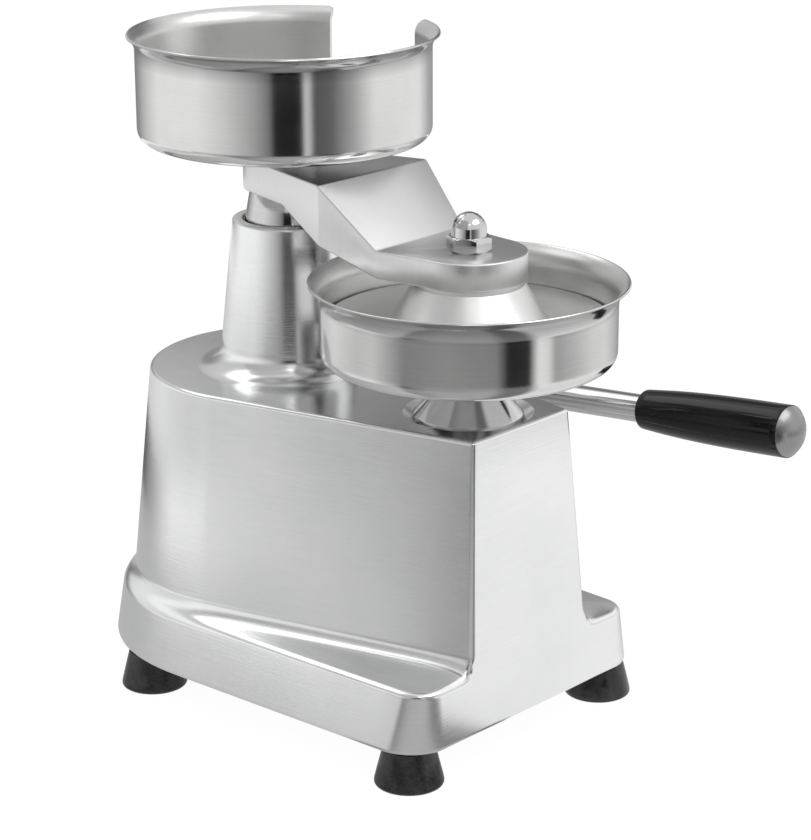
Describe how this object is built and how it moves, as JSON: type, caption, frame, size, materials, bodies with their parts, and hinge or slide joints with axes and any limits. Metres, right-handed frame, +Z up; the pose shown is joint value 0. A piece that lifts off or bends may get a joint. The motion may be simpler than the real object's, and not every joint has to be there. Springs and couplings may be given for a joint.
{
  "type": "burger press",
  "caption": "Hand-lever burger press: a cast housing on rubber feet carries a forming bowl, a lifting arm with a round press plate, and a slotted bowl of paper discs.",
  "frame": {"origin": "bottom centre of the whole press's bounding box, on the table under the feet", "axes": "+X to the handle's side, +Y towards the rear where the column stands, +Z up"},
  "size_m": [0.21, 0.275, 0.29],
  "materials": {
    "cast_body": "bead-blasted satin casting with fine level brush lines",
    "bronze": "turned bearing bronze",
    "chromed_steel": "bright chrome, turned",
    "polished_stainless": "polished pressed sheet, brushed in rings inside",
    "satin_plate": "turned satin aluminium",
    "satin_arm": "satin with crisp edges",
    "black_rubber": "matt black rubber",
    "black_grip": "glossy black moulded plastic",
    "bright_steel": "ground bright steel",
    "plain_steel": "milled plain steel, lightly oiled",
    "zinc_fasteners": "zinc-plated",
    "white_nylon": "turned white nylon"
  },
  "bodies": {
    "stand": {"body_casting": "cast_body", "column_bush_upper": "bronze", "column_bush_lower": "bronze", "shaft_bush_right": "bronze", "shaft_bush_left": "bronze", "bowl_support": "chromed_steel", "support_nut": "zinc_fasteners", "ejector_guide": "bronze", "forming_bowl": "polished_stainless", "foot_front_left": "black_rubber", "foot_front_right": "black_rubber", "foot_rear_left": "black_rubber", "foot_rear_right": "black_rubber", "foot_screws": "zinc_fasteners"},
    "lever": {"cross_shaft": "bright_steel", "handle_hub": "chromed_steel", "hub_set_screw": "zinc_fasteners", "handle_rod": "chromed_steel", "handle_grip": "black_grip", "grip_end_cap": "chromed_steel", "lift_fork": "plain_steel", "fork_pin": "zinc_fasteners", "ejector_lever": "plain_steel", "lever_pin": "bright_steel", "lever_roller": "white_nylon"},
    "carriage": {"column_yoke": "plain_steel", "yoke_pin": "bright_steel"},
    "arm": {"swing_arm": "satin_arm", "column": "chromed_steel", "column_washer": "zinc_fasteners", "column_nut": "zinc_fasteners", "press_plate": "satin_plate", "plate_stud": "bright_steel", "acorn_nut": "chromed_steel", "bowl_spacer": "satin_plate", "paper_bowl": "polished_stainless", "bowl_screw": "zinc_fasteners"},
    "tray": {"lifting_tray": "polished_stainless", "ejector_rod": "bright_steel", "ejector_foot": "plain_steel"}
  },
  "joints": [
    {"name": "handle_pivot", "type": "hinge", "parent": "stand", "child": "lever", "pos_m": [0.0933, 0.08874, 0.102], "axis": [-1, 0, 0], "range_deg": [0, 40]},
    {"name": "column_lift", "type": "slide", "parent": "stand", "child": "carriage", "axis": [0, 0, 1], "range_m": [0, 0.024]},
    {"name": "arm_swing", "type": "hinge", "parent": "carriage", "child": "arm", "pos_m": [-0.0256, 0.05577, 0.2], "axis": [0, 0, 1], "range_deg": [-0.3, 0.3]},
    {"name": "tray_lift", "type": "slide", "parent": "stand", "child": "tray", "axis": [0, 0, 1], "range_m": [0, 0.028]}
  ],
  "couplings": [
    {"joint": "column_lift", "follows": "handle_pivot", "m_per_rad": 0.034377},
    {"joint": "tray_lift", "follows": "handle_pivot", "m_per_rad": 0.040107}
  ]
}
